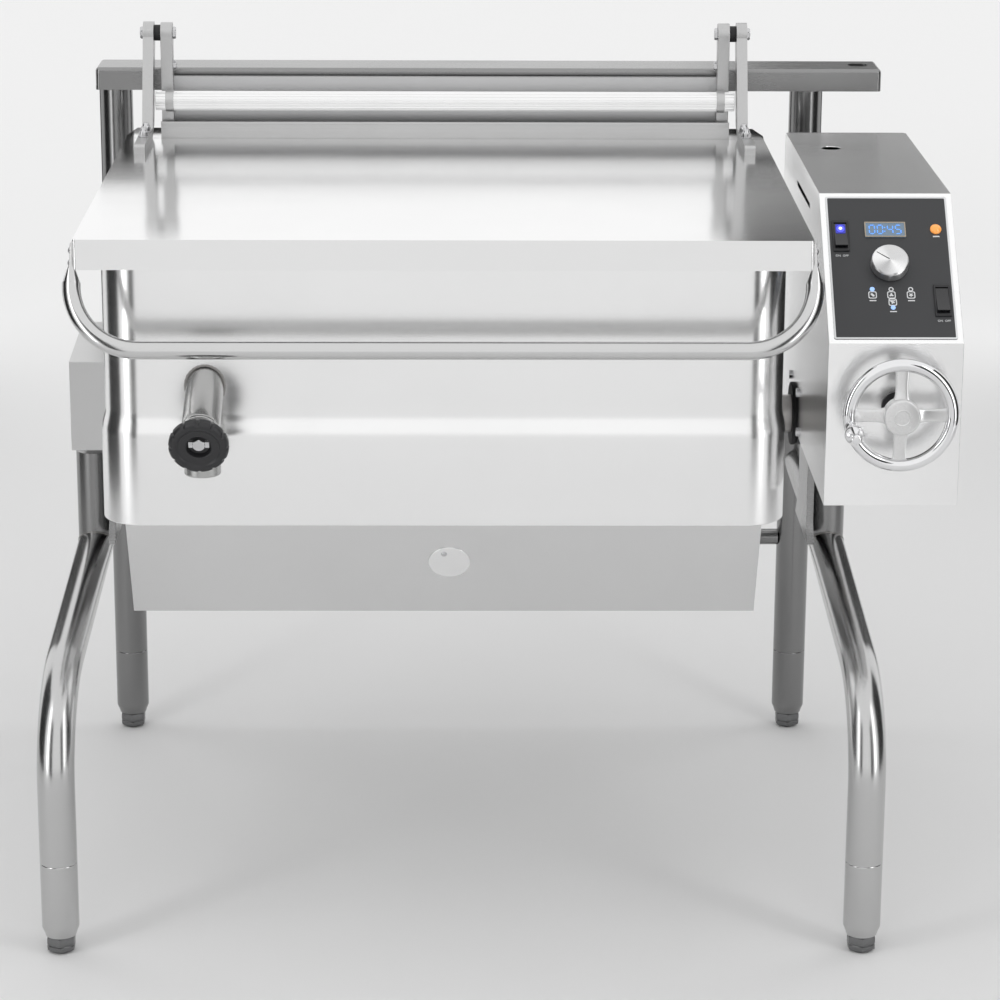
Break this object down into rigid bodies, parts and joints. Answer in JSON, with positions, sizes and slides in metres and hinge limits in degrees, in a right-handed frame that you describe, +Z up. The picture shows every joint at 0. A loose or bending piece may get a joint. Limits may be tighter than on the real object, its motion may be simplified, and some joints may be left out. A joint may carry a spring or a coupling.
{
  "type": "tilting skillet",
  "caption": "Floor-standing tilting skillet: a lidded rectangular pan on trunnions in a tubular stand, with a handwheel tilt drive, control console and draw-off valve.",
  "frame": {"origin": "on the floor, below the middle of the whole machine seen from above", "axes": "+X to the operator's right (console side), +Y from the operator's side to the back beam, +Z up"},
  "size_m": [1.2314, 1.0496, 1.153],
  "materials": {
    "sheet_steel": "brushed satin",
    "tube_steel": "polished along the tube",
    "foot_steel": "dark machined",
    "gear_steel": "machined, oiled",
    "bearing_iron": "painted casting",
    "hinge_alloy": "satin",
    "channel_steel": "satin",
    "wheel_chrome": "polished",
    "bolt_steel": "polished",
    "valve_steel": "satin",
    "black_plastic": "satin black",
    "rocker_plastic": "gloss black",
    "seal_rubber": "matt",
    "overlay_film": "dark charcoal film",
    "display_pane": "blue-grey display",
    "lamp_lens": "amber lens",
    "knob_aluminium": "spun",
    "blanket_fibre": "ceramic fibre",
    "element_sheath": "heat-tinted",
    "board_laminate": "green laminate",
    "contactor_case": "grey case"
  },
  "bodies": {
    "frame": {"front_leg_left": "tube_steel", "front_leg_right": "tube_steel", "posts": "tube_steel", "leg_sockets": "tube_steel", "frame_rails": "tube_steel", "trunnion_plates": "sheet_steel", "bearing_housings": "bearing_iron", "rear_beam": "sheet_steel", "trunnion_seal": "seal_rubber", "shaft_bushings": "seal_rubber", "bushing_brackets": "gear_steel", "console_housing": "sheet_steel", "console_back_cover": "sheet_steel", "console_screws": "bolt_steel", "control_panel": "overlay_film", "rocker_frames": "black_plastic", "display_window": "display_pane", "pilot_lamp": "lamp_lens", "mode_lamps": "display_pane", "control_board": "board_laminate", "contactors": "contactor_case", "left_cover": "sheet_steel"},
    "pan": {"pan_shell": "sheet_steel", "pan_floor": "sheet_steel", "pan_jacket": "sheet_steel", "insulation_blanket": "blanket_fibre", "heating_elements": "element_sheath", "element_clamps": "gear_steel", "heater_box": "sheet_steel", "box_screws": "bolt_steel", "trunnion_shaft_left": "gear_steel", "trunnion_shaft_right": "gear_steel", "gear_sector": "gear_steel", "valve_body": "valve_steel", "valve_bonnet": "foot_steel", "hinge_brackets": "hinge_alloy", "hinge_spacers": "black_plastic", "hinge_pins": "bolt_steel", "hinge_panel": "channel_steel", "torsion_tube": "hinge_alloy", "torsion_bar": "gear_steel", "tube_collars": "hinge_alloy"},
    "lid": {"lid_cover": "sheet_steel", "lid_handle": "tube_steel", "lid_arms": "hinge_alloy", "lid_bolts": "bolt_steel"},
    "handwheel": {"handwheel": "wheel_chrome", "worm_shaft": "gear_steel", "crank_spindle": "wheel_chrome"},
    "crank_grip": {"crank_grip": "wheel_chrome"},
    "valve_knob": {"valve_knob": "black_plastic", "valve_stem": "bolt_steel"},
    "access_cover": {"access_cover": "sheet_steel"},
    "power_rocker": {"power_rocker": "rocker_plastic"},
    "heat_rocker": {"heat_rocker": "rocker_plastic"},
    "control_knob": {"control_knob": "knob_aluminium"},
    "foot_front_left": {"foot_front_left": "foot_steel"},
    "foot_front_right": {"foot_front_right": "foot_steel"},
    "foot_rear_left": {"foot_rear_left": "foot_steel"},
    "foot_rear_right": {"foot_rear_right": "foot_steel"}
  },
  "joints": [
    {"name": "pan_tilt", "type": "hinge", "parent": "frame", "child": "pan", "pos_m": [-0.0673, 0.02081, 0.645], "axis": [1, 0, 0], "range_deg": [0, 85]},
    {"name": "lid_open", "type": "hinge", "parent": "pan", "child": "lid", "pos_m": [-0.0673, 0.40881, 1.136], "axis": [-1, 0, 0], "range_deg": [0, 75]},
    {"name": "wheel_turn", "type": "hinge", "parent": "frame", "child": "handwheel", "pos_m": [0.5297, -0.42919, 0.761], "axis": [0, 1, 0], "range_deg": [0, 4250]},
    {"name": "grip_spin", "type": "hinge", "parent": "handwheel", "child": "crank_grip", "pos_m": [0.46344, -0.46919, 0.74812], "axis": [0, 1, 0], "continuous": true},
    {"name": "valve_turn", "type": "hinge", "parent": "pan", "child": "valve_knob", "pos_m": [-0.3813, -0.49371, 0.74359], "axis": [0, -0.9397, -0.342], "range_deg": [0, 90]},
    {"name": "cover_swing", "type": "hinge", "parent": "pan", "child": "access_cover", "pos_m": [-0.0673, -0.33812, 0.54369], "axis": [0, -0.8763, -0.4817], "range_deg": [-170, 0]},
    {"name": "power_rock", "type": "hinge", "parent": "frame", "child": "power_rocker", "pos_m": [0.4627, -0.25681, 0.96048], "axis": [-1, 0, 0], "range_deg": [0, 16]},
    {"name": "heat_rock", "type": "hinge", "parent": "frame", "child": "heat_rocker", "pos_m": [0.5917, -0.33092, 0.88896], "axis": [-1, 0, 0], "range_deg": [0, 16]},
    {"name": "knob_turn", "type": "hinge", "parent": "frame", "child": "control_knob", "pos_m": [0.5247, -0.29759, 0.93363], "axis": [0, -0.6944, 0.7195], "continuous": true},
    {"name": "foot_front_left_turn", "type": "hinge", "parent": "frame", "child": "foot_front_left", "pos_m": [-0.5903, -0.41719, 0.012], "axis": [0, 0, 1], "continuous": true},
    {"name": "foot_front_right_turn", "type": "hinge", "parent": "frame", "child": "foot_front_right", "pos_m": [0.5047, -0.41719, 0.012], "axis": [0, 0, 1], "continuous": true},
    {"name": "foot_rear_left_turn", "type": "hinge", "parent": "frame", "child": "foot_rear_left", "pos_m": [-0.5743, 0.47681, 0.012], "axis": [0, 0, 1], "continuous": true},
    {"name": "foot_rear_right_turn", "type": "hinge", "parent": "frame", "child": "foot_rear_right", "pos_m": [0.4887, 0.47681, 0.012], "axis": [0, 0, 1], "continuous": true}
  ],
  "couplings": [
    {"joint": "wheel_turn", "follows": "pan_tilt", "ratio": 50}
  ]
}
